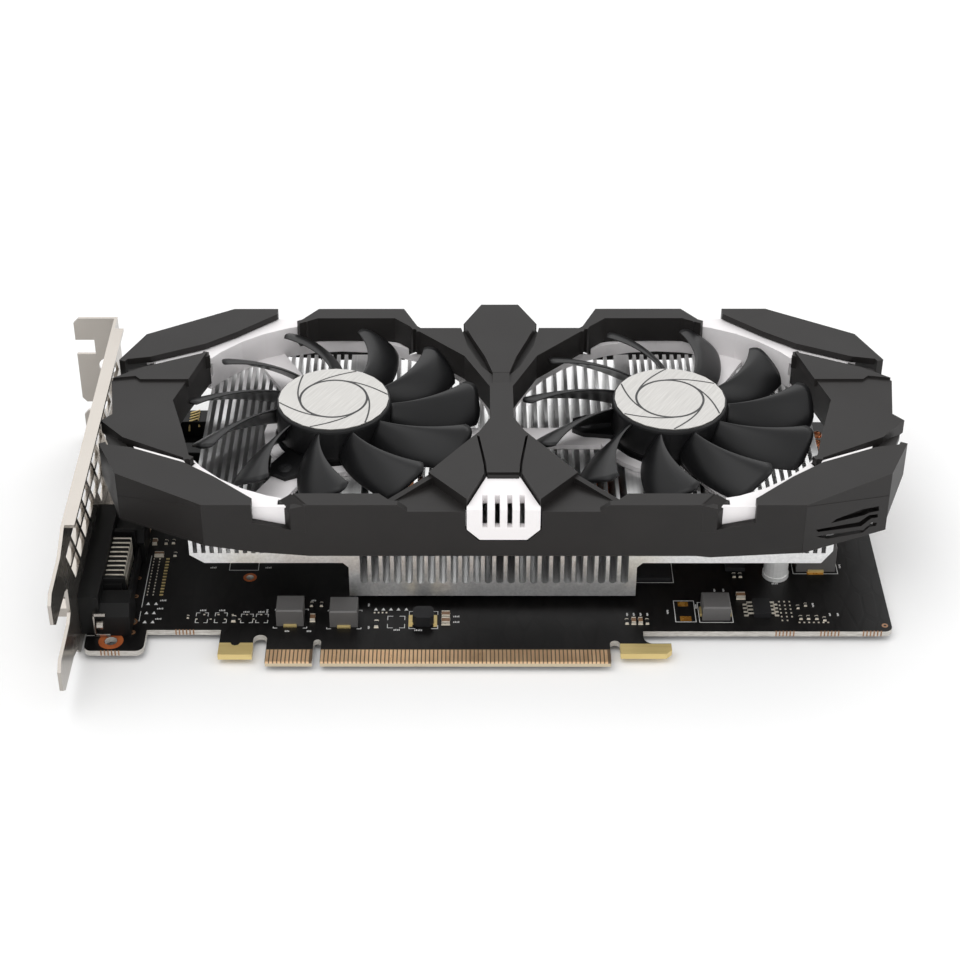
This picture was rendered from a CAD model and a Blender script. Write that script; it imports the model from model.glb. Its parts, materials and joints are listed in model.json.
"""Looks of a dual-fan graphics card: its finishes, its fine shapes and a small studio.

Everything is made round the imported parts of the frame, which stay as they are.
"""

import json
import math

import bmesh
import bpy
from mathutils import Matrix, Vector


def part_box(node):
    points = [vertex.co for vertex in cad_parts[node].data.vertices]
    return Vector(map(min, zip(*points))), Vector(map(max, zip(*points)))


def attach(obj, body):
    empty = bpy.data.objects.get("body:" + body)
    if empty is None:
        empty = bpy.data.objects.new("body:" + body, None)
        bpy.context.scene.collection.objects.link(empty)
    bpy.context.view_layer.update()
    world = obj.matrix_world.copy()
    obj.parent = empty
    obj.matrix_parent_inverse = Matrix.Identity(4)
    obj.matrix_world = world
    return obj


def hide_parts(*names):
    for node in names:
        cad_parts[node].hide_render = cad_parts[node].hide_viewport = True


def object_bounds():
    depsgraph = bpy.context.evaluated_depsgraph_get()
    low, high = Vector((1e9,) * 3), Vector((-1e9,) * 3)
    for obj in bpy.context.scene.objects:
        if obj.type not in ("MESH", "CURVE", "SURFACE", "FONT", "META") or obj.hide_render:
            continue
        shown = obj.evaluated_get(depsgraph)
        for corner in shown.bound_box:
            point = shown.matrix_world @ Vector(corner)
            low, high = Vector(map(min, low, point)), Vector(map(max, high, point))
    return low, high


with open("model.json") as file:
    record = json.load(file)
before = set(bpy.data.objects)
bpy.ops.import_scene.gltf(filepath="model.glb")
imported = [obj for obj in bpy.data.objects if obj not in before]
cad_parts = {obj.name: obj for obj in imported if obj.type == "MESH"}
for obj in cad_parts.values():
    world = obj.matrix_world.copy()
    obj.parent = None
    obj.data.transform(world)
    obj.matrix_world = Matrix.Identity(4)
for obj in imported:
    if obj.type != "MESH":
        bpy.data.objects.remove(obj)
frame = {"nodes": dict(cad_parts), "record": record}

bl_info = {
    "name": "Graphics Card Finisher",
    "version": (1, 0, 0),
    "blender": (4, 5, 0),
    "location": "3D View > Sidebar > Card",
    "description": "Finishes and details a dual-fan graphics card",
    "category": "Object",
}

CAD_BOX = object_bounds()
NODES = frame["nodes"]
MM = 0.001

# The card's own measure: millimetres from the edge connector's key notch (X), its edge (Y) and
# the board's component face (Z).
BOARD_LEFT = -57.8
BOARD_LOW, BOARD_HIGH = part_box("circuit_board")
KEY = Vector((BOARD_LOW.x - BOARD_LEFT * MM, BOARD_LOW.y, BOARD_HIGH.z))


def at(x, y, z=0.0):
    """A point of the card's own measure, in the frame's metres."""
    return KEY + Vector((x, y, z)) * MM


def centre_of(node):
    low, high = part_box(node)
    return (low + high) / 2


FAN_AXES = {side: centre_of(f"fan_shaft_{side}") for side in ("left", "right")}


# ---- shader node groups ----

def new_group(name, inputs):
    """A shader node group with named inputs, and a finish's three outputs."""
    group = bpy.data.node_groups.new(name, "ShaderNodeTree")
    for label, kind, default in inputs:
        socket = group.interface.new_socket(label, in_out="INPUT", socket_type=kind)
        socket.default_value = default
    for label, kind in (("Color", "NodeSocketColor"), ("Roughness", "NodeSocketFloat"),
                        ("Normal", "NodeSocketVector")):
        group.interface.new_socket(label, in_out="OUTPUT", socket_type=kind)
    return group


class Wires:
    """Short calls that place and join the nodes of one tree."""

    def __init__(self, tree):
        self.tree = tree

    def node(self, kind, **settings):
        made = self.tree.nodes.new(kind)
        for name, value in settings.items():
            setattr(made, name, value)
        return made

    def link(self, source, target):
        self.tree.links.new(source, target)

    def feed(self, node, **values):
        """Sets or joins a node's inputs by name, spaces written as underscores."""
        for name, value in values.items():
            self.put(node.inputs[name.replace("_", " ")], value)
        return node

    def put(self, socket, value):
        if isinstance(value, bpy.types.NodeSocket):
            self.link(value, socket)
        else:
            socket.default_value = value

    def maths(self, operation, *values):
        made = self.node("ShaderNodeMath", operation=operation)
        for socket, value in zip(made.inputs, values):
            self.put(socket, value)
        return made.outputs[0]

    def spread(self, value, low, high, to_low=0.0, to_high=1.0):
        """A value taken from one range to another, held at its ends."""
        made = self.node("ShaderNodeMapRange", clamp=True)
        for name, given in (("Value", value), ("From Min", low), ("From Max", high),
                            ("To Min", to_low), ("To Max", to_high)):
            self.put(made.inputs[name], given)
        return made.outputs["Result"]

    def mix(self, share, first, second):
        """A colour between two colours."""
        made = self.node("ShaderNodeMix", data_type="RGBA")
        for index, value in ((0, share), (6, first), (7, second)):
            self.put(made.inputs[index], value)
        return made.outputs[2]

    def blend(self, share, first, second):
        """A number between two numbers."""
        made = self.node("ShaderNodeMix", data_type="FLOAT")
        for index, value in ((0, share), (2, first), (3, second)):
            self.put(made.inputs[index], value)
        return made.outputs[0]

    def place(self, scale=(1, 1, 1), turn=(0, 0, 0)):
        """Object coordinates, turned and scaled."""
        coordinates = self.node("ShaderNodeTexCoord").outputs["Object"]
        mapping = self.node("ShaderNodeMapping", vector_type="POINT")
        self.feed(mapping, Vector=coordinates, Rotation=turn, Scale=scale)
        return mapping.outputs["Vector"]

    def noise(self, vector, scale, detail=2.0, roughness=0.5):
        made = self.node("ShaderNodeTexNoise")
        self.feed(made, Vector=vector, Scale=scale, Detail=detail, Roughness=roughness)
        return made.outputs["Fac"]

    def bump(self, height, strength, distance, normal=None):
        made = self.node("ShaderNodeBump")
        self.feed(made, Height=height, Strength=strength, Distance=distance)
        if normal is not None:
            self.link(normal, made.inputs["Normal"])
        return made.outputs["Normal"]


def grain_group():
    """Moulded or pressed surface: fine texture, soft blotches of tone and gloss, lighter edges."""
    group = new_group("moulded_grain", [
        ("Tone", "NodeSocketColor", (0.1, 0.1, 0.1, 1)),
        ("Worn Tone", "NodeSocketColor", (0.3, 0.3, 0.3, 1)),
        ("Wear", "NodeSocketFloat", 0.4), ("Edge Width", "NodeSocketFloat", 0.0003),
        ("Grain Scale", "NodeSocketFloat", 3000.0), ("Grain Depth", "NodeSocketFloat", 0.2),
        ("Gloss Low", "NodeSocketFloat", 0.35), ("Gloss High", "NodeSocketFloat", 0.5),
    ])
    w = Wires(group)
    given = w.node("NodeGroupInput").outputs
    out = w.node("NodeGroupOutput")
    coordinates = w.place()
    blotches = w.noise(coordinates, 45.0, 4.0, 0.6)
    grain = w.noise(coordinates, given["Grain Scale"], 2.0, 0.5)
    edge = w.feed(w.node("ShaderNodeBevel", samples=4), Radius=given["Edge Width"])
    face = w.node("ShaderNodeNewGeometry").outputs["Normal"]
    dot = w.node("ShaderNodeVectorMath", operation="DOT_PRODUCT")
    w.link(edge.outputs["Normal"], dot.inputs[0])
    w.link(face, dot.inputs[1])
    rounding = w.spread(dot.outputs["Value"], 0.995, 0.85)
    rubbed = w.maths("MULTIPLY", rounding, w.spread(blotches, 0.3, 0.7, 0.35, 1.0))
    share = w.maths("MULTIPLY", rubbed, given["Wear"])
    tone = w.mix(w.spread(blotches, 0.3, 0.7, 0.0, 0.16), given["Tone"], given["Worn Tone"])
    w.link(w.mix(share, tone, given["Worn Tone"]), out.inputs["Color"])
    w.link(w.blend(w.spread(blotches, 0.25, 0.75), given["Gloss Low"], given["Gloss High"]),
           out.inputs["Roughness"])
    w.link(w.bump(grain, given["Grain Depth"], 0.00003), out.inputs["Normal"])
    return group


def brushed_group():
    """Brushed or extruded metal: long streaks along one direction, set by the stretch."""
    group = new_group("brushed_lines", [
        ("Tone", "NodeSocketColor", (0.7, 0.7, 0.7, 1)),
        ("Dark Tone", "NodeSocketColor", (0.5, 0.5, 0.5, 1)),
        ("Stretch", "NodeSocketVector", (20.0, 3000.0, 3000.0)),
        ("Turn", "NodeSocketVector", (0.0, 0.0, 0.0)),
        ("Depth", "NodeSocketFloat", 0.3),
        ("Gloss Low", "NodeSocketFloat", 0.2), ("Gloss High", "NodeSocketFloat", 0.4),
    ])
    w = Wires(group)
    given = w.node("NodeGroupInput").outputs
    out = w.node("NodeGroupOutput")
    coordinates = w.node("ShaderNodeTexCoord").outputs["Object"]
    turned = w.node("ShaderNodeMapping", vector_type="POINT")
    w.feed(turned, Vector=coordinates, Rotation=given["Turn"])
    stretched = w.node("ShaderNodeVectorMath", operation="MULTIPLY")
    w.link(turned.outputs["Vector"], stretched.inputs[0])
    w.link(given["Stretch"], stretched.inputs[1])
    streaks = w.noise(stretched.outputs["Vector"], 1.0, 3.0, 0.6)
    patches = w.noise(coordinates, 60.0, 3.0, 0.6)
    tone = w.mix(w.spread(streaks, 0.3, 0.7), given["Dark Tone"], given["Tone"])
    w.link(w.mix(w.spread(patches, 0.4, 0.8, 0.0, 0.3), tone, given["Dark Tone"]),
           out.inputs["Color"])
    w.link(w.blend(w.spread(streaks, 0.25, 0.75), given["Gloss Low"], given["Gloss High"]),
           out.inputs["Roughness"])
    w.link(w.bump(streaks, given["Depth"], 0.00002), out.inputs["Normal"])
    return group


def shared_group(name, build):
    """The shader or geometry group of that name, made the first time it's asked for."""
    return bpy.data.node_groups.get(name) or build()


def new_material(name, metallic=0.0, shine=0.5):
    """A material with a Principled shader, and the calls that wire it."""
    material = bpy.data.materials.new(name)
    material.use_nodes = True
    shader = material.node_tree.nodes["Principled BSDF"]
    shader.inputs["Metallic"].default_value = metallic
    shader.inputs["Specular IOR Level"].default_value = shine
    return material, Wires(material.node_tree), shader


def rgb(colour):
    return (*colour, 1.0)


def moulded(name, tone, worn, wear=0.4, edge=0.3, grain=3000.0, depth=0.2, gloss=(0.35, 0.5),
            metallic=0.0, shine=0.5):
    """A moulded, pressed or painted finish."""
    material, w, shader = new_material(name, metallic, shine)
    group = w.node("ShaderNodeGroup", node_tree=shared_group("moulded_grain", grain_group))
    w.feed(group, Tone=rgb(tone), Worn_Tone=rgb(worn), Wear=wear, Edge_Width=edge * MM,
           Grain_Scale=grain, Grain_Depth=depth, Gloss_Low=gloss[0], Gloss_High=gloss[1])
    join_group(w, group, shader)
    return material


def join_group(w, group, shader):
    """Feeds a group's colour, roughness and normal to the shader."""
    for source, target in (("Color", "Base Color"), ("Roughness", "Roughness"),
                           ("Normal", "Normal")):
        w.link(group.outputs[source], shader.inputs[target])


def brushed(name, tone, dark, stretch, turn=0.0, depth=0.3, gloss=(0.2, 0.4), metallic=1.0):
    """A brushed, sawn or extruded metal finish."""
    material, w, shader = new_material(name, metallic)
    group = w.node("ShaderNodeGroup", node_tree=shared_group("brushed_lines", brushed_group))
    w.feed(group, Tone=rgb(tone), Dark_Tone=rgb(dark), Stretch=stretch, Turn=(0, 0, turn),
           Depth=depth, Gloss_Low=gloss[0], Gloss_High=gloss[1])
    join_group(w, group, shader)
    return material


def new_object(name, data):
    """An object of that name in the scene, at the origin."""
    made = bpy.data.objects.new(name, data)
    bpy.context.collection.objects.link(made)
    return made


def clothe(obj, material):
    """Gives an object one material."""
    obj.data.materials.clear()
    obj.data.materials.append(material)
    return obj


# ---- shapes ----

TO_FRAME = Matrix.Translation(KEY) @ Matrix.Scale(MM, 4)


class Maker:
    """Collects closed solids, drawn in the card's own millimetres, into one piece."""

    def __init__(self):
        self.mesh = bmesh.new()

    def prism(self, outline, low, high, taper=0.0):
        """An upright prism. With a taper its top is drawn in towards its middle."""
        middle = [sum(axis) / len(outline) for axis in zip(*outline)]
        top = []
        for x, y in outline:
            reach = math.hypot(x - middle[0], y - middle[1])
            share = 1 - taper / reach if reach else 1
            top.append((middle[0] + (x - middle[0]) * share, middle[1] + (y - middle[1]) * share))
        below = [self.mesh.verts.new((x, y, low)) for x, y in outline]
        above = [self.mesh.verts.new((x, y, high)) for x, y in top]
        self.skin([below, above])
        return self

    def skin(self, rows):
        """Closes rows of corners, one above another, into a solid with flat ends."""
        count = len(rows[0])
        for lower, upper in zip(rows, rows[1:]):
            for index in range(count):
                after = (index + 1) % count
                self.mesh.faces.new((lower[index], lower[after], upper[after], upper[index]))
        self.mesh.faces.new(rows[0][::-1])
        self.mesh.faces.new(rows[-1])

    def box(self, span_x, span_y, span_z, taper=0.0):
        (x0, x1), (y0, y1) = span_x, span_y
        return self.prism([(x0, y0), (x1, y0), (x1, y1), (x0, y1)], *span_z, taper)

    def circles(self, profile, x, y, sides):
        """Level circles of corners about an upright axis, one for each radius and height."""
        angles = [2 * math.pi * step / sides for step in range(sides)]
        return [[self.mesh.verts.new((x + radius * math.cos(angle),
                                      y + radius * math.sin(angle), z)) for angle in angles]
                for radius, z in profile]

    def turned(self, profile, x, y, sides=48):
        """A solid turned about an upright axis; the profile runs up its outside."""
        self.skin(self.circles(profile, x, y, sides))
        return self

    def ring(self, inner, outer, low, high, x, y, sides=40):
        """A flat washer."""
        profile = ((inner, low), (outer, low), (outer, high), (inner, high))
        corners = self.circles(profile, x, y, sides)
        for first, second in zip(corners, corners[1:] + corners[:1]):
            for index in range(sides):
                after = (index + 1) % sides
                self.mesh.faces.new((first[index], first[after], second[after], second[index]))
        return self

    def tube(self, route, radius, sides=8):
        """A round bar along a line of points."""
        points = [Vector(point) for point in route]
        rows = []
        for index, point in enumerate(points):
            ahead = points[min(index + 1, len(points) - 1)] - points[max(index - 1, 0)]
            turn = ahead.to_track_quat("Z", "Y").to_matrix()
            rows.append([self.mesh.verts.new(point + turn @ Vector(
                (radius * math.cos(angle), radius * math.sin(angle), 0)))
                for angle in (2 * math.pi * step / sides for step in range(sides))])
        self.skin(rows)
        return self

    def strip(self, line, width, low, high):
        """A flat band along a line seen from above."""
        left, right = [], []
        for index, (x, y) in enumerate(line):
            x0, y0 = line[max(index - 1, 0)]
            x1, y1 = line[min(index + 1, len(line) - 1)]
            reach = math.hypot(x1 - x0, y1 - y0)
            side_x, side_y = (y0 - y1) / reach * width / 2, (x1 - x0) / reach * width / 2
            left.append((x + side_x, y + side_y))
            right.append((x - side_x, y - side_y))
        for index in range(len(line) - 1):
            self.prism([right[index], right[index + 1], left[index + 1], left[index]], low, high)
        return self

    def plate(self, start, end, outline, inner, outer):
        """A slab on an upright wall; its outline runs along the wall and upwards."""
        along = Vector((end[0] - start[0], end[1] - start[1], 0)).normalized()
        out = Vector((along.y, -along.x, 0))
        if out.y > 0:
            out.negate()
        rows = []
        for depth in (inner, outer):
            rows.append([self.mesh.verts.new(
                Vector((*start, height)) + along * reach + out * depth)
                for reach, height in outline])
        self.skin(rows)
        return self

    def hull(self, points):
        """The tightest solid round a few points."""
        corners = [self.mesh.verts.new(point) for point in points]
        bmesh.ops.convex_hull(self.mesh, input=corners)
        return self

    def object(self, name):
        """The solids so far as an object in the frame's metres, at the origin."""
        bmesh.ops.transform(self.mesh, matrix=TO_FRAME, verts=self.mesh.verts)
        bmesh.ops.recalc_face_normals(self.mesh, faces=self.mesh.faces)
        data = bpy.data.meshes.new(name)
        self.mesh.to_mesh(data)
        self.mesh.free()
        return new_object(name, data)


def add_piece(made, finish, body="card", stands_for=(), bevel=0.0, smooth=False):
    """Gives an object its finish and slot, and rides it on a body. The bevel is in millimetres."""
    clothe(made, FINISH[finish])
    if smooth:
        made.data.shade_smooth()
    if bevel:
        round_edges(made, bevel)
    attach(made, body)
    if stands_for:
        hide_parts(*stands_for)
    return made


def round_edges(obj, width):
    """Rounds every edge that turns by more than 25 degrees."""
    bevel = obj.modifiers.new("rounded edges", "BEVEL")
    bevel.width = width * MM
    bevel.segments = 2
    bevel.limit_method = "ANGLE"
    bevel.angle_limit = math.radians(25)
    bevel.use_clamp_overlap = True


def repeat_tree():
    """Copies a mesh in a row, or round a centre, or both."""
    tree = bpy.data.node_groups.new("repeat", "GeometryNodeTree")
    tree.interface.new_socket("Geometry", in_out="INPUT", socket_type="NodeSocketGeometry")
    for label, kind in (("Count", "Int"), ("Step", "Vector"), ("Centre", "Vector"),
                        ("Turn", "Float"), ("Material", "Material")):
        tree.interface.new_socket(label, in_out="INPUT", socket_type=f"NodeSocket{kind}")
    tree.interface.new_socket("Geometry", in_out="OUTPUT", socket_type="NodeSocketGeometry")
    w = Wires(tree)
    given = w.node("NodeGroupInput").outputs
    line = w.node("GeometryNodeMeshLine", mode="OFFSET", count_mode="TOTAL")
    w.feed(line, Count=given["Count"], Start_Location=given["Centre"], Offset=given["Step"])
    back = w.node("ShaderNodeVectorMath", operation="SCALE")
    w.feed(back, Scale=-1.0)
    w.link(given["Centre"], back.inputs[0])
    moved = w.node("GeometryNodeTransform")
    w.feed(moved, Geometry=given["Geometry"], Translation=back.outputs[0])
    angle = w.maths("MULTIPLY", w.node("GeometryNodeInputIndex").outputs[0], given["Turn"])
    turn = w.node("ShaderNodeCombineXYZ")
    w.feed(turn, Z=angle)
    copies = w.node("GeometryNodeInstanceOnPoints")
    w.feed(copies, Points=line.outputs[0], Instance=moved.outputs[0], Rotation=turn.outputs[0])
    real = w.node("GeometryNodeRealizeInstances")
    w.link(copies.outputs[0], real.inputs[0])
    dressed = w.node("GeometryNodeSetMaterial")
    w.feed(dressed, Geometry=real.outputs[0], Material=given["Material"])
    w.link(dressed.outputs[0], w.node("NodeGroupOutput").inputs[0])
    return tree


def repeated(made, finish, count, step=(0, 0, 0), centre=(0, 0, 0), turn=0.0):
    """The object's mesh copied by the repeat tree and made plain. Steps are in millimetres."""
    tree = shared_group("repeat", repeat_tree)
    sockets = {item.name: item.identifier for item in tree.interface.items_tree
               if item.in_out == "INPUT"}
    modifier = made.modifiers.new("repeat", "NODES")
    modifier.node_group = tree
    values = {"Count": count, "Step": tuple(part * MM for part in step),
              "Centre": tuple(centre), "Turn": turn, "Material": FINISH[finish]}
    for label, value in values.items():
        modifier[sockets[label]] = value
    return made_plain(made, modifier)


def add_row(maker, name, finish, slot, count, body="card", bevel=0.0, **copies):
    """A piece copied in a row or round a centre, with the steps of the repeat tree."""
    made = repeated(maker.object(name), finish, count, **copies)
    add_piece(made, finish, body, bevel=bevel)


def made_plain(made, modifier):
    """Turns a modifier's result into the object's own mesh, and takes the modifier off."""
    bpy.context.view_layer.update()
    evaluated = made.evaluated_get(bpy.context.evaluated_depsgraph_get())
    plain = bpy.data.meshes.new_from_object(evaluated)
    made.modifiers.remove(modifier)
    made.data = plain
    return made


def merged_copy(node, name):
    """A copy of a CAD node with its corners joined and its flat faces whole."""
    mesh = bmesh.new()
    mesh.from_mesh(NODES[node].data)
    bmesh.ops.remove_doubles(mesh, verts=mesh.verts, dist=0.004 * MM)
    bmesh.ops.dissolve_limit(mesh, angle_limit=math.radians(0.8), use_dissolve_boundaries=False,
                             verts=mesh.verts, edges=mesh.edges)
    data = bpy.data.meshes.new(name)
    mesh.to_mesh(data)
    mesh.free()
    for face in data.polygons:
        face.use_smooth = False
    return new_object(name, data)


def carve(made, maker):
    """Cuts a maker's solids out of an object's mesh."""
    cutter = maker.object("cutter")
    modifier = made.modifiers.new("carve", "BOOLEAN")
    modifier.operation = "DIFFERENCE"
    modifier.solver = "EXACT"
    modifier.object = cutter
    made_plain(made, modifier)
    bpy.data.objects.remove(cutter)
    return made


# ---- settings ----

class CoverSettings(bpy.types.PropertyGroup):
    shell_tone: bpy.props.FloatVectorProperty(
        name="Cover colour", description="Colour of the black covers", subtype="COLOR",
        size=3, min=0, max=1, default=(0.0125, 0.0112, 0.0108))
    white_tone: bpy.props.FloatVectorProperty(
        name="White colour", description="Colour of the badge and the fans' frame",
        subtype="COLOR", size=3, min=0, max=1, default=(0.90, 0.87, 0.875))
    edge: bpy.props.FloatProperty(
        name="Edge radius", description="Rounding of the covers' edges",
        default=0.22 * MM, min=0, subtype="DISTANCE", unit="LENGTH")


class FanSettings(bpy.types.PropertyGroup):
    blades: bpy.props.IntProperty(
        name="Blades", description="Number of blades on each fan", default=11, min=3, max=15)
    blade_tip: bpy.props.FloatProperty(
        name="Blade tip", description="Distance from the fan's axis to the blades' tips",
        default=38.2 * MM, subtype="DISTANCE", unit="LENGTH")
    ring: bpy.props.FloatProperty(
        name="Plate circle", description="Radius of the circle engraved on the hub's plate",
        default=8.7 * MM, subtype="DISTANCE", unit="LENGTH")
    line: bpy.props.FloatProperty(
        name="Engraved line", description="Width of the lines on the hub's plate",
        default=0.42 * MM, subtype="DISTANCE", unit="LENGTH")


class BoardSettings(bpy.types.PropertyGroup):
    pitch: bpy.props.FloatProperty(
        name="Contact pitch", description="Distance between two contacts of the edge connector",
        default=1.0 * MM, min=0, subtype="DISTANCE", unit="LENGTH")
    contact_width: bpy.props.FloatProperty(
        name="Contact width", description="Width of one contact of the edge connector",
        default=0.7 * MM, min=0, subtype="DISTANCE", unit="LENGTH")
    contact_length: bpy.props.FloatProperty(
        name="Contact length", description="Distance from the connector's edge to a contact's end",
        default=4.5 * MM, min=0, subtype="DISTANCE", unit="LENGTH")
    print_width: bpy.props.FloatProperty(
        name="Print width", description="Width of the printed outlines round the board's parts",
        default=0.16 * MM, min=0, subtype="DISTANCE", unit="LENGTH")


class StageSettings(bpy.types.PropertyGroup):
    floor_tone: bpy.props.FloatVectorProperty(
        name="Floor tone", description="Colour of the floor and backdrop", subtype="COLOR",
        size=3, min=0, max=1, default=(0.985, 0.985, 0.985))
    key_power: bpy.props.FloatProperty(
        name="Key light", description="Power of the large light above the card",
        default=1.0, min=0)


# ---- studio ----

# Where the camera stands and how it is turned, in the card's own measure.
CAMERA = {"place": (38.1, -402.7, 342.9), "yaw": -0.509, "pitch": 35.876, "roll": -0.293,
          "lens": 80.54, "shift": (0.0257, 0.0117)}


def make_camera():
    """The camera, level with the card but for a slight roll."""
    data = bpy.data.cameras.new("camera")
    data.lens = CAMERA["lens"]
    data.sensor_width = 36
    data.shift_x, data.shift_y = CAMERA["shift"]
    data.clip_start = 0.01
    camera = new_object("camera", data)
    yaw, pitch, roll = (math.radians(CAMERA[key]) for key in ("yaw", "pitch", "roll"))
    ahead = Vector((math.sin(yaw) * math.cos(pitch), math.cos(yaw) * math.cos(pitch),
                    -math.sin(pitch)))
    right = Vector((math.cos(yaw), -math.sin(yaw), 0))
    up = right.cross(ahead)
    right, up = (math.cos(roll) * right + math.sin(roll) * up,
                 -math.sin(roll) * right + math.cos(roll) * up)
    turn = Matrix((right, up, -ahead)).transposed().to_4x4()
    camera.matrix_world = Matrix.Translation(at(*CAMERA["place"])) @ turn
    bpy.context.scene.camera = camera


# The lights point here, near the middle of the card.
AIM = (46, 50, 15)


def area_light(name, place, size, power):
    """A rectangular light at a place of the card's own measure."""
    data = bpy.data.lights.new(name, "AREA")
    data.shape = "RECTANGLE"
    data.size, data.size_y = (length * MM for length in size)
    data.energy = power
    light = new_object(name, data)
    place, target = at(*place), at(*AIM)
    turn = (target - place).to_track_quat("-Z", "Y")
    light.matrix_world = Matrix.Translation(place) @ turn.to_matrix().to_4x4()


def floor_mesh(half, height):
    """A square that reaches the given half length to each side, in metres."""
    mesh = bpy.data.meshes.new("floor")
    corners = [(-half, -half, height), (half, -half, height), (half, half, height),
               (-half, half, height)]
    mesh.from_pydata(corners, [], [(0, 1, 2, 3)])
    return mesh


class CARD_OT_stage(bpy.types.Operator):
    """Make the floor, the lights and the camera"""
    bl_idname = "card.stage"
    bl_label = "Stage"

    def execute(self, context):
        settings = context.scene.card_stage
        floor = new_object("floor", floor_mesh(6.0, CAD_BOX[0].z - 0.2 * MM))
        material, w, shader = new_material("pale_floor")
        dusting = w.spread(w.noise(w.place(), 6.0, 3.0), 0.2, 0.8, 0.0, 1.0)
        tone = tuple(settings.floor_tone)
        w.link(w.mix(dusting, rgb(tuple(0.985 * part for part in tone)), rgb(tone)),
               shader.inputs["Base Color"])
        shader.inputs["Roughness"].default_value = 0.9
        clothe(floor, material)
        world = bpy.data.worlds.new("studio")
        world.use_nodes = True
        sky = world.node_tree.nodes["Background"]
        sky.inputs["Color"].default_value = (1, 1, 1, 1)
        sky.inputs["Strength"].default_value = 0.8
        context.scene.world = world
        area_light("key", (-160, -60, 620), (620, 420), settings.key_power)
        area_light("back", (60, 520, 420), (700, 300), settings.key_power * 0.8)
        area_light("side", (620, -60, 300), (300, 400), settings.key_power * 0.4)
        area_light("fill", (46, -640, 260), (520, 260), settings.key_power * 0.7)
        context.scene.view_settings.view_transform = "Standard"
        make_camera()
        return {"FINISHED"}


# ---- finishes ----

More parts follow.
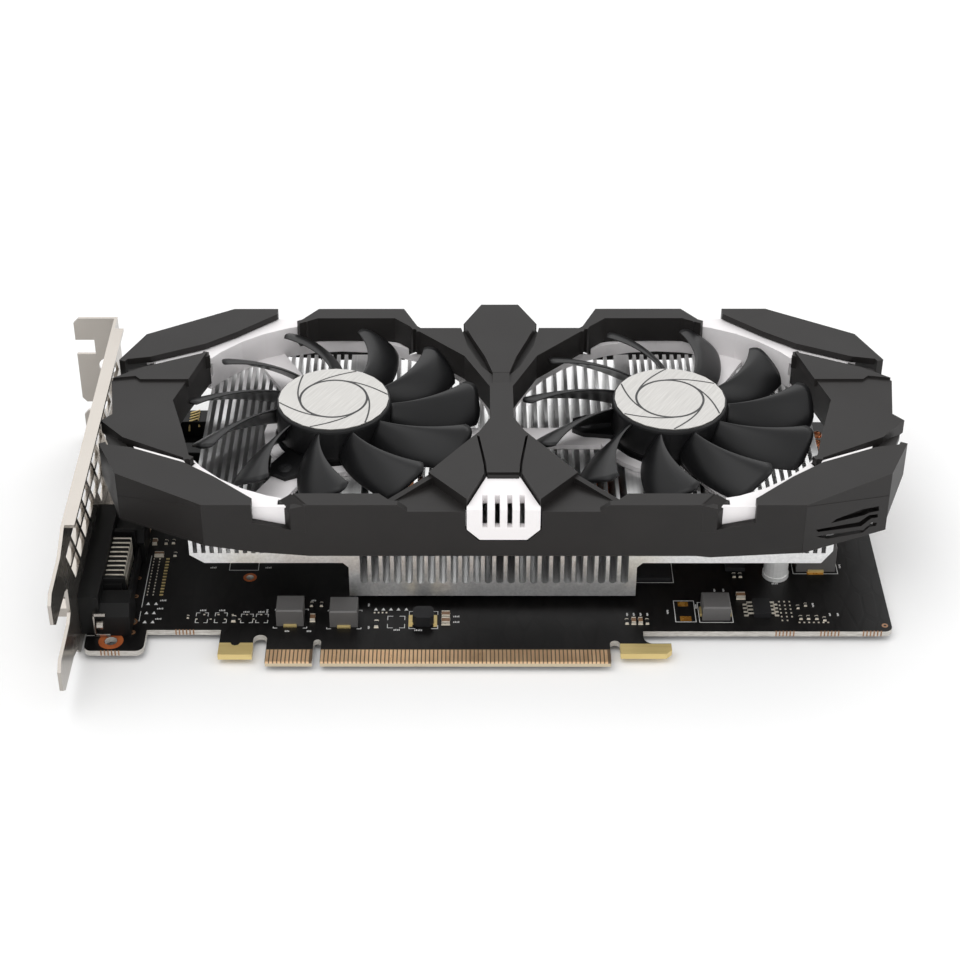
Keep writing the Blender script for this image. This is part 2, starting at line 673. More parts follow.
def finishes(cover):
    """One material for each finish on the card."""
    return {
        "black_shell": moulded("black_shell", cover.shell_tone, (0.05, 0.046, 0.044), 0.4,
                               0.3, grain=4200, gloss=(0.42, 0.54), shine=0.27),
        "white_plastic": moulded("white_plastic", cover.white_tone, (0.93, 0.92, 0.92), 0.3,
                                 gloss=(0.38, 0.5)),
        "fan_plastic": moulded("fan_plastic", (0.007, 0.007, 0.0075), (0.03, 0.03, 0.032), 0.35,
                               0.4, grain=5000, depth=0.15, gloss=(0.3, 0.42), shine=0.3),
        "steel": brushed("bracket_steel", (0.46, 0.43, 0.395), (0.39, 0.362, 0.33),
                         (60, 60, 60), depth=0.1, gloss=(0.2, 0.3), metallic=0.93),
        "aluminium": brushed("extruded_aluminium", (0.91, 0.91, 0.905), (0.72, 0.72, 0.72),
                             (1500, 20, 1500), depth=0.3, gloss=(0.28, 0.42), metallic=0.86),
        "copper": brushed("copper", (0.85, 0.38, 0.19), (0.62, 0.25, 0.12), (300, 300, 300)),
        "winding": brushed("copper_winding", (0.72, 0.30, 0.14), (0.35, 0.13, 0.06),
                           (500, 500, 6000), depth=0.8),
        "board": solder_mask(),
        "chip": moulded("chip_plastic", (0.012, 0.012, 0.013), (0.04, 0.04, 0.042), 0.3,
                        grain=6000, gloss=(0.42, 0.6), shine=0.3),
        "choke": moulded("pressed_ferrite", (0.11, 0.106, 0.104), (0.25, 0.242, 0.238), 0.4,
                         grain=7000, depth=0.6, gloss=(0.42, 0.6), metallic=0.25),
        "can": brushed("can_aluminium", (0.86, 0.86, 0.85), (0.78, 0.78, 0.77), (200, 200, 2000),
                       depth=0.15, gloss=(0.3, 0.42), metallic=0.35),
        "connector": moulded("connector_plastic", (0.004, 0.004, 0.004), (0.018, 0.018, 0.018),
                             0.4, gloss=(0.38, 0.52), shine=0.2),
        "hub_plate": brushed("hub_plate", (0.56, 0.55, 0.53), (0.42, 0.41, 0.395),
                             (3200, 110, 3200), turn=0.55, depth=0.5, gloss=(0.3, 0.44),
                             metallic=0.75),
        "carrier": moulded("carrier_laminate", (0.02, 0.07, 0.04), (0.05, 0.1, 0.07), 0.3),
        "magnet": moulded("sintered_magnet", (0.06, 0.058, 0.055), (0.15, 0.15, 0.15), 0.5,
                          gloss=(0.5, 0.7)),
        "bronze": brushed("sintered_bronze", (0.55, 0.34, 0.16), (0.4, 0.24, 0.1),
                          (900, 900, 900), depth=0.6),
        "gold": brushed("plated_gold", (0.76, 0.60, 0.27), (0.64, 0.49, 0.20),
                        (40, 900, 900), depth=0.15, gloss=(0.3, 0.42), metallic=0.55),
        "contact": brushed("contact_gold", (0.88, 0.62, 0.38), (0.74, 0.48, 0.27),
                           (900, 90, 900), depth=0.3, gloss=(0.25, 0.4), metallic=0.8),
        "laminate": moulded("bare_laminate", (0.10, 0.062, 0.034), (0.2, 0.14, 0.08), 0.5,
                            grain=4500, depth=0.5, gloss=(0.45, 0.6)),
        "dull_copper": brushed("dull_copper", (0.36, 0.2, 0.11), (0.24, 0.12, 0.06),
                               (700, 700, 700), depth=0.4, metallic=0.4),
        "amber": brushed("amber_pad", (0.52, 0.27, 0.045), (0.30, 0.12, 0.02),
                         (400, 400, 400), depth=0.5, gloss=(0.2, 0.35), metallic=0.4),
        "pale_laminate": moulded("pale_laminate", (0.55, 0.46, 0.32), (0.68, 0.6, 0.45), 0.5,
                                 grain=4500, depth=0.5, gloss=(0.5, 0.65)),
        "solder": brushed("solder", (0.85, 0.80, 0.70), (0.66, 0.60, 0.50), (700, 700, 700),
                          depth=0.6, gloss=(0.25, 0.4), metallic=0.4),
        "silk": moulded("silk_print", (0.72, 0.72, 0.71), (0.85, 0.85, 0.85), 0.3,
                        grain=9000, gloss=(0.6, 0.75)),
        "orange_ring": brushed("ring_copper", (0.58, 0.16, 0.045), (0.42, 0.10, 0.03),
                               (500, 500, 500), depth=0.5, gloss=(0.35, 0.5), metallic=0.3),
        "ceramic": moulded("capacitor_ceramic", (0.21, 0.115, 0.06), (0.34, 0.21, 0.12), 0.4,
                           grain=8000, gloss=(0.35, 0.5)),
        "engraving": moulded("engraved_line", (0.02, 0.02, 0.021), (0.06, 0.06, 0.06), 0.2,
                             gloss=(0.4, 0.6)),
    }


def solder_mask():
    """Matt black mask over faint copper tracks, with pale glass fibre on the cut edges."""
    material, w, shader = new_material("solder_mask", shine=0.25)
    coordinates = w.place()
    tracks = w.node("ShaderNodeTexVoronoi", feature="DISTANCE_TO_EDGE")
    w.feed(tracks, Vector=w.place(scale=(1.0, 0.35, 1.0), turn=(0, 0, 0.785)), Scale=260.0,
           Randomness=0.7)
    raised = w.spread(tracks.outputs["Distance"], 0.06, 0.1)
    haze = w.noise(coordinates, 55.0, 3.0, 0.6)
    mask = w.mix(w.spread(haze, 0.35, 0.7), rgb((0.003, 0.0026, 0.0027)),
                 rgb((0.006, 0.0055, 0.0055)))
    mask = w.mix(w.maths("MULTIPLY", raised, 0.25), mask, rgb((0.011, 0.0102, 0.01)))
    fibres = w.noise(w.place(scale=(1, 1, 14)), 420.0, 3.0, 0.7)
    fibre = w.mix(w.spread(fibres, 0.35, 0.65), rgb((0.36, 0.34, 0.31)), rgb((0.62, 0.60, 0.56)))
    up = w.node("ShaderNodeSeparateXYZ")
    w.link(w.node("ShaderNodeNewGeometry").outputs["Normal"], up.inputs[0])
    edge = w.spread(w.maths("ABSOLUTE", up.outputs["Z"]), 0.6, 0.4)
    w.link(w.mix(edge, mask, fibre), shader.inputs["Base Color"])
    w.link(w.spread(haze, 0.3, 0.7, 0.34, 0.48), shader.inputs["Roughness"])
    grain = w.noise(coordinates, 5000.0, 2.0)
    fine = w.bump(grain, 0.15, 0.00002)
    w.link(w.bump(raised, 0.35, 0.00003, fine), shader.inputs["Normal"])
    return material


FINISH = {}


def dress_nodes():
    """Gives every CAD node the finish of its material slot."""
    FINISH.update(finishes(bpy.context.scene.card_cover))
    for part in frame["record"]["subparts"]:
        clothe(NODES[part["node"]], FINISH[part["material_slot"]])


# ---- fans ----

# Heights, radii and thickness of hub and blades, in the card's own millimetres.
HUB_FOOT, HUB_TOP = 26.6, 35.3
HUB_INSIDE, HUB_OUTSIDE = 13.7, 15.0
SHAFT_ROOM = 1.05
PLATE_RIM = 14.1
BLADE_LOW, BLADE_HIGH = 27.0, 35.1
BLADE_ROOT = 14.4
BLADE_THICK = 1.1
# How far a blade leans back from root to tip, and how wide it is at its root, in radians.
BLADE_SWEEP, BLADE_CHORD = 0.35, 0.27
# Where the first blade and the first engraved arc start, in degrees.
BLADE_TURN = {"left": -3, "right": -4}
ARC_START = {"left": 205, "right": 227.5}
ARC_SWEEP = 1.49


def to_card(point):
    """A frame point in the card's own millimetres."""
    return (point - KEY) / MM


def blade_mesh(maker, x, y, turn, settings):
    """One steep blade, its high edge leading anticlockwise, with a round corner at its tip."""
    along, across = 16, 14
    climb = BLADE_HIGH - BLADE_LOW - 1.2
    sheets = []
    for side in (1, -1):
        sheet = []
        for i in range(along + 1):
            out = i / along
            row = []
            for j in range(across + 1):
                share = 0.5 - 0.5 * math.cos(math.pi * j / across)
                corner = 2.6 * max(0.0, (share - 0.7) / 0.3) ** 3
                corner += 1.1 * max(0.0, (0.3 - share) / 0.3) ** 2
                tip = settings.blade_tip / MM - corner
                radius = BLADE_ROOT + (tip - BLADE_ROOT) * out
                chord = BLADE_CHORD + 0.04 * out
                angle = turn + BLADE_SWEEP * out ** 1.15 + chord * (share - 1)
                rise = 0.55 * share + 0.45 * math.sin(0.5 * math.pi * share)
                height = BLADE_LOW + 0.6 + climb * rise
                height -= 0.5 * out ** 3 * share ** 2
                rounding = math.sqrt(max(0.05, 1 - (2 * share - 1) ** 6))
                thick = (BLADE_THICK - 0.3 * out) * rounding / 2
                row.append(maker.mesh.verts.new((x + radius * math.cos(angle),
                                                 y + radius * math.sin(angle),
                                                 height + side * thick)))
            sheet.append(row)
        sheets.append(sheet)
    top, bottom = sheets
    face = maker.mesh.faces.new
    for i in range(along):
        for j in range(across):
            face((top[i][j], top[i + 1][j], top[i + 1][j + 1], top[i][j + 1]))
            face((bottom[i][j], bottom[i][j + 1], bottom[i + 1][j + 1], bottom[i + 1][j]))
        for j in (0, across):
            face((top[i][j], top[i + 1][j], bottom[i + 1][j], bottom[i][j]))
    for j in range(across):
        for i in (0, along):
            face((top[i][j], top[i][j + 1], bottom[i][j + 1], bottom[i][j]))


def swirl_line(x, y, circle, rim, start, sweep):
    """A line that leaves a circle along its tangent and curves out to the rim."""
    line = []
    steps = 14
    for step in range(steps + 1):
        radius = circle + (rim - circle) * (step / steps) ** 1.6
        angle = start - sweep * math.acos(circle / radius)
        line.append((x + radius * math.cos(angle), y + radius * math.sin(angle)))
    return line


def make_fan(side, settings):
    """The blades, the hub and the engraved lines of one fan, riding its rotor."""
    centre = FAN_AXES[side]
    x, y, _ = to_card(centre)
    body = f"fan_{side}"
    blade = Maker()
    blade_mesh(blade, x, y, math.radians(BLADE_TURN[side]), settings)
    blades = repeated(blade.object(f"fan_blades_{side}"), "fan_plastic",
                      settings.blades, centre=centre, turn=2 * math.pi / settings.blades)
    add_piece(blades, "fan_plastic", body, (f"fan_rotor_{side}",),
              smooth=True)
    hub = Maker().turned(
        [(HUB_INSIDE, HUB_TOP - 1.3), (HUB_INSIDE, HUB_FOOT), (HUB_OUTSIDE - 0.3, HUB_FOOT),
         (HUB_OUTSIDE, HUB_FOOT + 0.3), (HUB_OUTSIDE, HUB_TOP - 0.9),
         (HUB_OUTSIDE - 0.15, HUB_TOP - 0.35), (HUB_OUTSIDE - 0.4, HUB_TOP),
         (HUB_OUTSIDE - 0.55, HUB_TOP), (HUB_OUTSIDE - 0.65, HUB_TOP - 0.02),
         (3, HUB_TOP - 0.02), (SHAFT_ROOM, HUB_TOP - 0.02), (SHAFT_ROOM, HUB_TOP - 2),
         (3, HUB_TOP - 2), (3, HUB_TOP - 1.3)], x, y, 96)
    hub = close_ends(hub)
    add_piece(hub.object(f"fan_hub_{side}"), "fan_plastic", body,
              (f"fan_rotor_{side}",))
    plate_top = to_card(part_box(f"fan_cap_plate_{side}")[1]).z
    circle, thread = settings.ring / MM, settings.line / MM
    swirl = swirl_line(x, y, circle, PLATE_RIM, math.radians(ARC_START[side]), ARC_SWEEP)
    lines = Maker().strip(swirl, thread, plate_top - 0.03, plate_top + 0.02)
    add_row(lines, f"cap_arcs_{side}", "engraving", "fan_plastic", 6, body, centre=centre,
            turn=math.pi / 3)
    ring = Maker().ring(circle - thread * 0.7, circle + thread * 0.7, plate_top - 0.03,
                        plate_top + 0.025, x, y, 72)
    add_piece(ring.object(f"cap_circle_{side}"), "engraving", body)


def close_ends(maker):
    """Makes a turned solid hollow: its two flat ends go, and their rims are joined."""
    ends = [face for face in maker.mesh.faces if len(face.verts) > 4]
    first, last = ([list(face.verts) for face in ends])
    bmesh.ops.delete(maker.mesh, geom=ends, context="FACES_ONLY")
    edges = []
    for loop in (first, last):
        edges += [maker.mesh.edges.get((a, b)) for a, b in zip(loop, loop[1:] + loop[:1])]
    bmesh.ops.bridge_loops(maker.mesh, edges=edges)
    return maker


class CARD_OT_fans(bpy.types.Operator):
    """Make the blades, hubs and engraved plates of both fans"""
    bl_idname = "card.fans"
    bl_label = "Fans"

    def execute(self, context):
        for side in FAN_AXES:
            make_fan(side, context.scene.card_fan)
        return {"FINISHED"}


# ---- covers ----

CENTRE_LINE = to_card(centre_of("badge")).x


def mirror_x(points):
    """The outline on the other side of the card's centre line."""
    return [(2 * CENTRE_LINE - x, y) for x, y in points][::-1]


# The grooves are cut from above the covers down to their floor.
GROOVE_FLOOR, ABOVE_COVERS = 33.6, 37


def spine_grooves():
    """The narrow grooves beside the head of the spine and beside the badge."""
    head = [(35.3, 100.2), (36.3, 99.8), (38.9, 91.8), (41.9, 83.4), (43.9, 75.4),
            (41.0, 79.6), (37.2, 89.9)]
    near = [(39.6, 46.2), (40.3, 45.6), (42.0, 33), (42.1, 28.6), (41.4, 28.6), (41.3, 33)]
    maker = Maker()
    for outline in (head, near):
        for points in (outline, mirror_x(outline)):
            maker.prism(points, GROOVE_FLOOR, ABOVE_COVERS)
    return maker


def spine_facets():
    """The slope that ends the spine's head and the low raised plate beside the badge."""
    left, right = 43.9, 2 * CENTRE_LINE - 43.9
    maker = Maker().hull([(x, y, z) for x in (left, right)
                          for y, z in ((76.2, 35.78), (76.2, 34.6), (61, 35.01), (61, 34.6))])
    plate = [(43.2, 53.4), (40.3, 45.6), (42.15, 28.7), (50.05, 28.7), (51.9, 45.6),
             (49.0, 53.4)]
    maker.prism(plate, 34.5, 35.3, 0.35)
    add_piece(maker.object("spine_facets"), "black_shell")


# The near walls of the claws run from the front wall's ends outwards.
CLAW_WALL = ((119.6, 17.3), (142.4, 30.6))
LEFT_CLAW_WALL = tuple((2 * CENTRE_LINE - x, y) for x, y in CLAW_WALL)
VENT_SLITS = (
    ((8.2, 26.5), (9.8, 27.2), (18.3, 27.1), (23.2, 26.1), (23.5, 24.6), (20.3, 25.2),
     (18.7, 25.0)),
    ((3.6, 26.2), (17.5, 23.4), (20.3, 24.4), (23.2, 23.7), (23.4, 22.6), (21.1, 23.1),
     (18.2, 21.8), (4.4, 25.2)),
    ((3.9, 24.0), (17.4, 20.9), (18.9, 20.2), (21.5, 21.6), (23.3, 21.0), (23.2, 20.1),
     (21, 20.5), (19, 19.5), (7.5, 21.9)),
)


def claw_faces():
    """The raised lower facets of the claws' near walls, with the right one's vent slits."""
    slits = Maker()
    for outline in VENT_SLITS:
        slits.plate(*CLAW_WALL, outline, -1.7, 1.0)
    right = Maker().plate(*CLAW_WALL, [(0, 20.3), (8.6, 19.4), (26.5, 17.6), (26.35, 28.2),
                                       (0, 34.5)], -1.2, 0.1)
    right = carve(right.object("claw_face_right"), slits)
    left = Maker().plate(*LEFT_CLAW_WALL, [(0, 23.4), (26.3, 21.6), (26.3, 28.2), (0, 34.5)],
                         -0.6, 0.1).object("claw_face_left")
    skirt = Maker().plate((90, 17.3), (119.6, 17.3), [(0.6, 19.7), (7, 18.9), (29.6, 20.3),
                                                      (29.6, 25), (0.6, 25)], -1.4, -0.03)
    for made in (right, left, skirt.object("front_skirt")):
        add_piece(made, "black_shell", bevel=0.12)


# Height of the near bar's underside.
BAR_FOOT = 26.5


def bar_ends():
    """The dark sloping ends of the near bar, beside the notches in the front wall."""
    top = [(94.4, 17.24, 34.97), (98.1, 22.1, 34.97)]
    low = [(98.1, 17.24, 32.4), (101.6, 22.1, 32.6)]
    maker = Maker()
    for way in (1, -1):
        shown = [(x if way == 1 else 2 * CENTRE_LINE - x, y, z) for x, y, z in top + low]
        maker.hull(shown + [(x, y, BAR_FOOT) for x, y, _ in shown])
    add_piece(maker.object("bar_ends"), "black_shell", bevel=0.12)


def side_strips():
    """White walls that show in the gaps between the claws and the side covers."""
    outline = [(-33.2, 35.55), (-46.6, 41.75), (-47.1, 43.0), (-33.7, 36.85)]
    maker = Maker()
    for points in (outline, mirror_x(outline)):
        maker.prism(points, 25, 34.5)
    add_piece(maker.object("side_strips"), "white_plastic")


def rounded_copy(node, name, finish, edge):
    """A CAD body's copy with rounded edges, in its place."""
    add_piece(merged_copy(node, name), finish, "card", (node,), bevel=edge)


def make_shell(edge):
    """The black front with its grooves and slits, and the two side covers."""
    shell = merged_copy("shroud_shell", "shroud_cover")
    carve(shell, spine_grooves())
    slits = Maker()
    for outline in VENT_SLITS:
        slits.plate(*CLAW_WALL, outline, -1.5, 0.5)
    carve(shell, slits)
    add_piece(shell, "black_shell", "card", ("shroud_shell",), bevel=edge)
    for side in ("left", "right"):
        rounded_copy(f"side_armour_{side}", f"side_cover_{side}", "black_shell", edge * 0.9)
    claw_faces()
    bar_ends()
    side_strips()
    spine_facets()


class CARD_OT_covers(bpy.types.Operator):
    """Make the black covers, the badge and the white frame with rounded edges"""
    bl_idname = "card.covers"
    bl_label = "Covers"

    def execute(self, context):
        edge = context.scene.card_cover.edge / MM
        make_shell(edge)
        rounded_copy("badge", "badge_face", "white_plastic", edge * 0.7)
        rounded_copy("fan_frame", "fan_carrier", "white_plastic", edge * 0.9)
        return {"FINISHED"}


# ---- board ----

# The two rows of contacts: middle of the first, how many, and the row's ends.
ROWS = ((-12.1, 11, -12.55, -1.0), (1.45, 71, 1.0, 72.55))
# The board's underside.
UNDERSIDE = to_card(BOARD_LOW).z


def make_fingers(settings):
    """The contacts, the bare laminate under them, and the plated hook and tab."""
    ground = Maker()
    rim = Maker()
    for _, _, left, right in ROWS:
        ground.box((left, right), (-0.015, 4.7), (-0.6, 0.012))
        rim.box((left, right), (-0.015, 0.3), (UNDERSIDE - 0.01, -0.6))
    add_piece(ground.object("finger_laminate"), "laminate")
    add_piece(rim.object("finger_rim"), "pale_laminate")
    for index, (first, count, _, _) in enumerate(ROWS):
        half = settings.contact_width / MM / 2
        maker = Maker().box((first - half, first + half), (-0.035, settings.contact_length / MM),
                            (-0.62, 0.04))
        add_row(maker, f"contacts_{index + 1}", "contact", "copper", count,
                step=(settings.pitch / MM, 0, 0))
    hook = [(75.08, 2.97), (86.4, 2.97), (87.83, 4.4), (87.83, 6.9), (75.08, 6.9)]
    tab = [(-24.42, 2.57), (-15.98, 2.57), (-15.98, 7.2), (-19.2, 7.2), (-19.6, 6.4),
           (-20.4, 6.1), (-21.2, 6.4), (-21.6, 7.2), (-24.42, 7.2)]
    plated = Maker().prism(hook, UNDERSIDE - 0.015, 0.03).prism(tab, UNDERSIDE - 0.015, 0.03)
    add_piece(plated.object("plated_hook"), "gold", bevel=0.03)


def make_edge_plating():
    """Groups of copper stripes on the board's lower edge, and rings round its holes."""
    for index, (start, edge) in enumerate(((-53.6, 4), (-35.9, 12.1), (114.2, 11.65),
                                           (125.4, 11.65), (136, 11.65))):
        maker = Maker().box((start, start + 0.36), (edge - 0.02, edge + 0.3),
                            (UNDERSIDE + 0.05, 0.02))
        add_row(maker, f"edge_stripes_{index + 1}", "dull_copper", "copper", 6,
                step=(0.88, 0, 0))
    rings = Maker().ring(1.62, 3.1, -0.05, 0.03, -51.4, 7.8)
    small_rings = Maker()
    for maker, x, y, inner, outer in (
            (rings, -18.9, 33.4, 1.02, 1.75), (small_rings, -47.1, 15.4, 0.92, 1.4),
            (small_rings, -46.6, 11.2, 0.35, 0.9), (small_rings, -47.4, 25.6, 0.3, 0.7),
            (small_rings, -47.5, 33.1, 0.3, 0.6), (small_rings, 141.8, 14, 0.35, 0.8)):
        maker.ring(inner, outer, -0.05, 0.03, x, y, 24)
    add_piece(rings.object("hole_rings"), "orange_ring")
    add_piece(small_rings.object("small_hole_rings"), "dull_copper")


# Heights of the print's underside and top above the board.
PRINT = (0.005, 0.022)


def frame_line(maker, x0, y0, x1, y1, width, gap):
    """A printed rectangle, with each side open by a gap at its middle."""
    half = width / 2

    def halves(low, high):
        middle = (low + high) / 2
        return ((low, middle - gap / 2), (middle + gap / 2, high))

    for y in (y0, y1):
        for near, far in halves(x0 - half, x1 + half):
            maker.box((near, far), (y - half, y + half), PRINT)
    for x in (x0, x1):
        for low, high in halves(y0 + half, y1 - half):
            maker.box((x - half, x + half), (low, high), PRINT)


def mark(maker, x, y, count=3, upright=False):
    """A short row of plain printed ticks beside a part."""
    for index in range(count):
        shift = index * 0.42
        tall = 0.62 if index % 2 else 0.5
        if upright:
            maker.box((x, x + tall * 0.8), (y + shift, y + shift + 0.24), PRINT)
        else:
            maker.box((x + shift, x + shift + 0.24), (y, y + tall), PRINT)


# Printed rectangles: left, low, right and high side, and the gap in each side.
OUTLINES = (
    (89.6, 15.4, 94.7, 23.8, 0), (95.6, 15.2, 104.0, 23.2, 0), (121.4, 35.0, 132.9, 46.8, 0),
    (-24.5, 36.4, -17, 41, 0), (76.8, 31.3, 90.2, 46.6, 0), (17.2, 13.0, 21.5, 17.6, 1.6),
    (-31.2, 15.0, -28.2, 18.9, 1.2), (-26.4, 15.0, -23.4, 18.9, 1.2),
    (-19.8, 15.0, -16.8, 18.4, 1.2), (-16.0, 15.0, -13.0, 18.4, 1.2),
    (-11.4, 12.9, -3.0, 20.4, 6.4), (2.0, 12.6, 10.6, 20.0, 6.4), (22.6, 12.7, 29.8, 19.5, 4),
)


def make_print(width):
    """White print: outlines, ticks and small triangles."""
    maker = Maker()
    for x0, y0, x1, y1, gap in OUTLINES:
        frame_line(maker, x0, y0, x1, y1, width, gap)
    for x, y, count, upright in (
            (-41, 23.6, 4, False), (-41.4, 20.3, 4, False), (-41.4, 16.2, 4, False),
            (-30.4, 19.6, 4, False), (-25.6, 19.6, 4, False), (-19.4, 19, 4, False),
            (-15.6, 19, 4, False), (-2.4, 23.6, 3, False), (-2.9, 11.4, 3, False),
            (-8.4, 11.4, 3, False), (33.7, 17.2, 4, False), (33.7, 15.0, 4, False),
            (18.8, 11.9, 4, False), (24, 11.8, 5, False), (77.3, 17.8, 3, True),
            (79.0, 17.8, 3, True), (80.7, 17.8, 3, True), (82.4, 17.8, 3, True),
            (87.6, 18.6, 4, True), (94.9, 20.8, 4, True), (100.2, 27.6, 3, True),
            (102.5, 27.6, 3, True), (105.7, 34, 3, True), (130.4, 17.8, 3, True),
            (128.4, 17.8, 3, True), (124.6, 21.4, 4, True), (115.4, 30.6, 4, False),
            (133.6, 37.4, 4, True), (-29.5, 37.2, 4, False), (-15.2, 37.2, 4, False),
            (12, 21.6, 3, True), (12.3, 12.6, 3, True), (-13.6, 18.8, 4, True)):
        mark(maker, x, y, count, upright)
    for x, y in ((-43.9, 22.6), (-41.9, 22.6), (-43.9, 18.9), (-42, 18.9), (-43.9, 15.3),
                 (-41.9, 15.3), (14.1, 20.4), (16, 20.4), (17.9, 20.4), (19.8, 20.4),
                 (21.8, 20.4)):
        maker.prism([(x - 0.5, y - 0.5), (x + 0.5, y - 0.5), (x, y + 0.6)], *PRINT)
    for x0, y0, x1, y1 in ((-58, 9.9, -52.2, 9.9), (-51.8, 14.1, -48.4, 14.1),
                           (-45.4, 15.6, -45.4, 19.4), (-45.4, 21.2, -45.4, 42.5)):
        maker.box((x0 - width / 2, x1 + width / 2), (y0 - width / 2, y1 + width / 2), PRINT)
    add_piece(maker.object("board_print"), "silk")


# Small two-ended parts: middle (X, Y), length along Y, width and height.
CERAMICS = (
    (-1.7, 16.5, 2.2, 1.3, 0.9), (31.8, 17.7, 1.9, 2.1, 1.0), (31.8, 15.1, 1.9, 2.1, 1.0),
    (106.8, 25.3, 1.7, 2.3, 1.1), (79.0, 15.4, 2.0, 1.1, 0.8), (80.7, 15.4, 2.0, 1.1, 0.8),
    (-43.4, 42.6, 1.2, 2.4, 1.0), (-47.6, 49.0, 1.1, 2.0, 0.9), (-53.0, 54.9, 1.4, 2.2, 0.9),
    (-45.2, 48.2, 2.0, 1.2, 0.8), (-47.6, 52.9, 2.0, 1.2, 0.8),
)
RESISTORS = (
    (14.4, 14.4, 2.6, 1.0, 0.45), (77.3, 15.4, 1.9, 0.8, 0.4), (82.4, 15.4, 1.9, 0.8, 0.4),
    (-21.6, 16.4, 2.2, 1.0, 0.4), (106.0, 34.2, 1.6, 0.8, 0.4), (107.6, 34.2, 1.6, 0.8, 0.4),
    (-2.3, 22.2, 1.5, 0.7, 0.4), (0.2, 22.2, 1.5, 0.7, 0.4), (-33.2, 17.2, 1.0, 0.5, 0.3),
    (120.9, 21.2, 1.2, 0.7, 0.4), (122.9, 22.1, 1.0, 0.7, 0.4), (121.1, 17.0, 1.3, 0.8, 0.4),
    (123.0, 17.0, 1.3, 0.8, 0.4), (125.1, 17.0, 1.3, 0.8, 0.4), (127.0, 16.4, 1.3, 0.8, 0.4),
    (-42.2, 48.2, 1.5, 0.8, 0.5), (-40.3, 48.4, 1.5, 0.8, 0.5), (-50.6, 50.4, 1.6, 0.9, 0.5),
    (-39.3, 43.0, 1.5, 0.8, 0.4), (-49.0, 46.8, 1.5, 0.8, 0.4), (-52.0, 51.6, 1.5, 0.8, 0.4),
)


def make_small_parts():
    """Ceramic capacitors and resistors, with soldered ends."""
    bodies, dark, ends = Maker(), Maker(), Maker()
    for body, table in ((bodies, CERAMICS), (dark, RESISTORS)):
        for x, y, long, wide, high in table:
            body.box((x - wide / 2, x + wide / 2), (y - long * 0.38, y + long * 0.38),
                     (0.03, high), 0.04)
            for way in (-1, 1):
                near, far = sorted((y + way * long * 0.37, y + way * long * 0.5))
                ends.box((x - wide / 2 - 0.03, x + wide / 2 + 0.03), (near, far),
                         (0.01, high + 0.03), 0.05)
                near, far = sorted((y + way * long * 0.45, y + way * long * 0.6))
                ends.box((x - wide / 2 - 0.08, x + wide / 2 + 0.08), (near, far), (0.005, 0.09))
    add_piece(bodies.object("ceramic_capacitors"), "ceramic", bevel=0.05)
    add_piece(dark.object("resistors"), "chip", bevel=0.05)
    add_piece(ends.object("soldered_ends"), "solder", bevel=0.05)


def make_pad_rows():
    """Regular rows of pads and legs."""
    rows = (
        ("footprint_pads_1", (-44.6, 26.2), (0.3, 0.55), 14, (0, 1.25, 0), "solder"),
        ("footprint_pads_2", (-43.1, 26.2), (0.3, 0.55), 14, (0, 1.25, 0), "solder"),
        ("footprint_pads_3", (-41.0, 26.2), (0.95, 0.6), 13, (0, 1.25, 0), "gold"),
        ("dot_pads_1", (116.4, 16.0), (0.4, 0.5), 6, (0, 1.5, 0), "solder"),
        ("dot_pads_2", (117.7, 16.0), (0.4, 0.5), 6, (0, 1.5, 0), "solder"),
        ("dot_pads_3", (119.0, 17.5), (0.4, 0.5), 5, (0, 1.5, 0), "solder"),
        ("small_pads_1", (-31.0, 16.4), (0.5, 0.4), 5, (3.6, 0, 0), "solder"),
        ("small_pads_2", (-29.2, 18.2), (0.5, 0.4), 5, (3.6, 0, 0), "solder"),
        ("small_pads_3", (120.6, 15.2), (0.45, 0.45), 7, (1.2, 0, 0), "solder"),
        ("small_pads_4", (13.8, 19.0), (0.4, 0.5), 4, (1.0, 0, 0), "solder"),
    )
    for name, (x, y), (wide, long), count, step, finish in rows:
        maker = Maker().box((x - wide / 2, x + wide / 2), (y - long / 2, y + long / 2),
                            (0.005, 0.05))
        add_row(maker, name, finish, "can", count, step=step)
    for side, x0, x1, foot in (("left", 109.35, 108.0, 107.0), ("right", 113.75, 114.8, 115.8)):
        leg = Maker()
        near, far = sorted((x0, x1))
        leg.box((near, far), (17.6, 18.1), (0.75, 0.95))
        near, far = sorted((x1, foot))
        leg.box((near, far), (17.6, 18.1), (0.02, 0.2))
        low, high = sorted((x1 - 0.1, x1 + 0.1))
        leg.box((low, high), (17.6, 18.1), (0.1, 0.95))
        add_row(leg, f"controller_legs_{side}", "solder", "can", 4, step=(0, 1.45, 0))


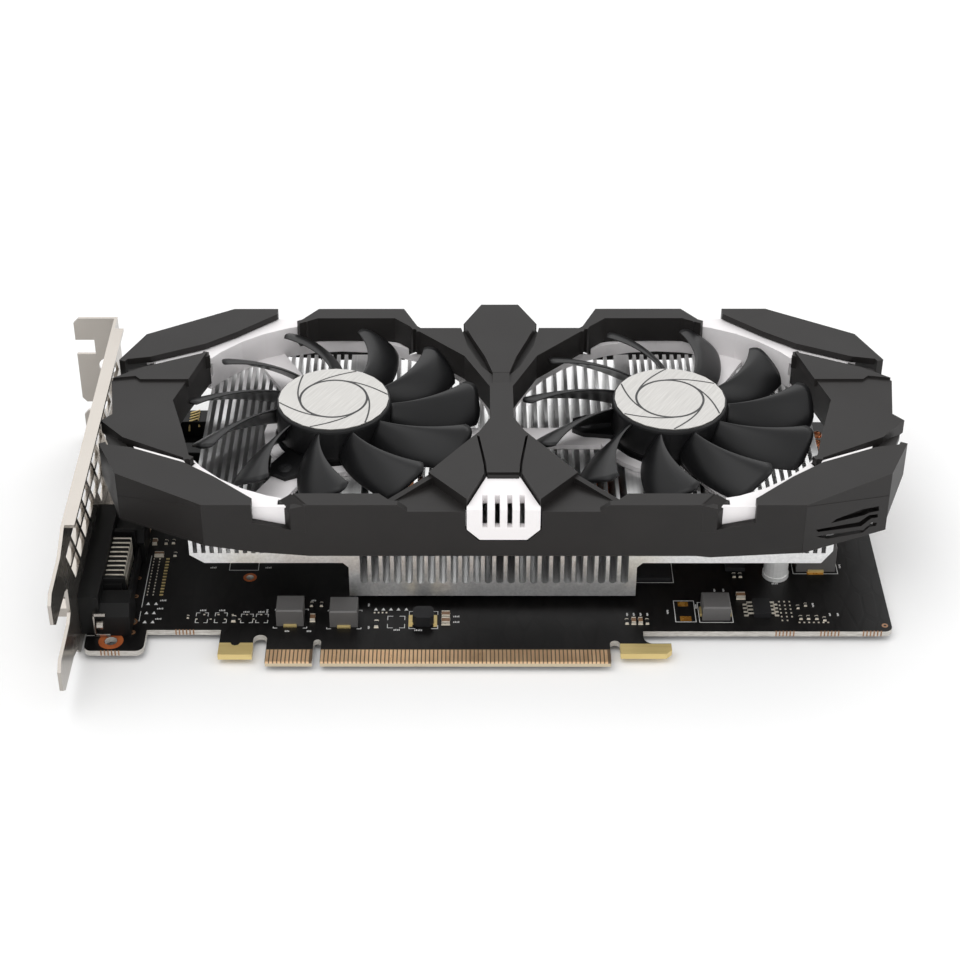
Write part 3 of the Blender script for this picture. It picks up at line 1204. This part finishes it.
def make_pads():
    """Amber pads of an empty place, and terminals of the chokes at their lower edges."""
    amber = Maker()
    for x0, x1, y0, y1 in ((90.6, 93.2, 21.6, 23.4), (90.8, 93.6, 15.7, 17.6),
                           (124.9, 129.2, 34.6, 36.0)):
        amber.box((x0, x1), (y0, y1), (0.005, 0.07))
    add_piece(amber.object("amber_pads"), "amber", bevel=0.03)
    gold = Maker()
    for node, wide in (("choke_1", 3.4), ("choke_2", 3.4), ("choke_4", 0), ("choke_5", 4.2)):
        low, high = (to_card(corner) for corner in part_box(node))
        middle = (low.x + high.x) / 2
        if wide:
            for y in (low.y, high.y):
                gold.box((middle - wide / 2, middle + wide / 2), (y - 0.45, y + 0.45),
                         (0.01, 0.75), 0.08)
        else:
            for x in (low.x, high.x):
                gold.box((x - 0.45, x + 0.45), (low.y + 1.6, high.y - 1.6), (0.01, 0.75), 0.08)
    for x, inwards in ((22.95, 26.4), (29.15, 26)):
        gold.box((x - 0.5, x + 0.5), (13.4, 18.0), (0.01, 0.12))
        gold.box(sorted((x, inwards)), (14.2, 14.9), (0.02, 0.3))
    add_piece(gold.object("choke_terminals"), "gold", bevel=0.05)


class CARD_OT_board(bpy.types.Operator):
    """Make the contacts, pads, print and small parts of the circuit board"""
    bl_idname = "card.board"
    bl_label = "Board"

    def execute(self, context):
        settings = context.scene.card_board
        make_fingers(settings)
        make_edge_plating()
        make_print(settings.print_width / MM)
        make_small_parts()
        make_pad_rows()
        make_pads()
        return {"FINISHED"}


# ---- sockets, bracket and screws ----

def make_socket_details():
    """The display socket's row of bent contacts and its grounding clip."""
    pin = Maker()
    pin.box((-53.9, -49.2), (22.05, 22.45), (9.45, 9.75))
    pin.box((-49.5, -49.2), (22.05, 22.45), (0.05, 9.45))
    add_row(pin, "socket_contacts", "solder", "steel", 9, bevel=0.08, step=(0, 1.9, 0))
    wall = Maker()
    for x0, x1, y0, y1 in ((-54.5, -48.4, 19.4, 20.6), (-54.5, -48.4, 39.2, 40.6)):
        wall.box((x0, x1), (y0, y1), (0.3, 10.6), 0.1)
    wall.box((-48.5, -47.6), (20.4, 39.4), (0.3, 5.6), 0.1)
    add_piece(wall.object("socket_walls"), "connector", bevel=0.15)
    clip = Maker()
    clip.box((-55.6, -55.1), (9.2, 12.6), (0.3, 7.4))
    clip.box((-55.6, -51.6), (9.2, 9.7), (0.2, 1.0))
    clip.box((-55.6, -52.4), (9.2, 9.7), (6.6, 7.4))
    clip.tube([(-54.6, 9.0, 4.2), (-53.0, 9.0, 4.2)], 1.1, 12)
    add_piece(clip.object("ground_clip"), "steel", bevel=0.08)


# The motor ears' screws: radius of their circle, first angle, and a head's foot and radius.
EAR_CIRCLE = 21.6
EAR_TURN = {"left": 117, "right": 175}
HEAD_FOOT, HEAD_RADIUS = 26.15, 1.9


def domed_head(maker, x, y):
    """A low domed screw head."""
    profile = [(HEAD_RADIUS, HEAD_FOOT), (HEAD_RADIUS, HEAD_FOOT + 0.2),
               (HEAD_RADIUS * 0.85, HEAD_FOOT + 0.4), (HEAD_RADIUS * 0.5, HEAD_FOOT + 0.5)]
    maker.turned(profile, x, y, 24)


def make_screws():
    """Small screws through the ears of the fans' motor bases, each with a dark cross."""
    heads, recess = Maker(), Maker()
    for side in FAN_AXES:
        x, y, _ = to_card(FAN_AXES[side])
        for step in range(3):
            angle = math.radians(EAR_TURN[side] + 120 * step)
            sx, sy = x + EAR_CIRCLE * math.cos(angle), y + EAR_CIRCLE * math.sin(angle)
            domed_head(heads, sx, sy)
            for long_x, long_y in ((0.95, 0.2), (0.2, 0.95)):
                recess.box((sx - long_x, sx + long_x), (sy - long_y, sy + long_y),
                           (HEAD_FOOT + 0.35, HEAD_FOOT + 0.53))
    add_piece(heads.object("ear_screws"), "chip")
    add_piece(recess.object("ear_screw_recesses"), "engraving")


def make_far_parts():
    """A low black part with pale gold springs, seen behind the left fan."""
    body = Maker().box((-46, -35.6), (97.5, 103.4), (0.02, 5.2)).box((-44.5, -36.4), (86, 91),
                                                                     (0.02, 2.6))
    add_piece(body.object("far_part"), "connector", bevel=0.15)
    spring = Maker().tube([(-41.2, 97.3, 2.2), (-40.9, 98.0, 5.1), (-38.6, 98.6, 5.6),
                           (-38.3, 97.3, 3.6)], 0.3)
    add_row(spring, "far_springs", "gold", "copper", 4, step=(0, 1.3, 0.05))


def make_pipe_ends():
    """The crimped ends of the heat pipes, seen as small copper rings."""
    maker = Maker()
    for x, y in ((128.9, 62.6), (129.6, 66.4)):
        maker.ring(0.5, 1.15, 21.6, 22.5, x, y, 24)
    add_piece(maker.object("pipe_ends"), "copper", bevel=0.12)


class CARD_OT_fittings(bpy.types.Operator):
    """Make the sockets' contacts, the grounding clip and the small screws"""
    bl_idname = "card.fittings"
    bl_label = "Fittings"

    def execute(self, context):
        make_socket_details()
        make_screws()
        make_pipe_ends()
        make_far_parts()
        return {"FINISHED"}


class CARD_OT_finishes(bpy.types.Operator):
    """Give every part the finish of its material slot"""
    bl_idname = "card.finishes"
    bl_label = "Finishes"

    def execute(self, context):
        dress_nodes()
        return {"FINISHED"}


STEPS = (CARD_OT_stage, CARD_OT_finishes, CARD_OT_covers, CARD_OT_fans, CARD_OT_board,
         CARD_OT_fittings)


class CARD_PT_panel(bpy.types.Panel):
    """Lists the steps and their settings"""
    bl_idname = "CARD_PT_panel"
    bl_label = "Graphics Card"
    bl_space_type = "VIEW_3D"
    bl_region_type = "UI"
    bl_category = "Card"

    def draw(self, context):
        scene = context.scene
        for group in SETTINGS:
            settings = getattr(scene, group)
            for name in settings.__annotations__:
                self.layout.prop(settings, name)
        for step in STEPS:
            self.layout.operator(step.bl_idname)


SETTINGS = {"card_stage": StageSettings, "card_cover": CoverSettings, "card_fan": FanSettings,
            "card_board": BoardSettings}
CLASSES = (*SETTINGS.values(), *STEPS, CARD_PT_panel)


def register():
    for made in CLASSES:
        bpy.utils.register_class(made)
    for name, settings in SETTINGS.items():
        setattr(bpy.types.Scene, name, bpy.props.PointerProperty(type=settings))


def unregister():
    for name in SETTINGS:
        delattr(bpy.types.Scene, name)
    for made in reversed(CLASSES):
        bpy.utils.unregister_class(made)


def main():
    """Makes the whole card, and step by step."""
    register()
    bpy.ops.card.stage()
    bpy.ops.card.finishes()
    bpy.ops.card.covers()
    bpy.ops.card.fans()
    bpy.ops.card.board()
    bpy.ops.card.fittings()


if __name__ == "__main__":
    main()
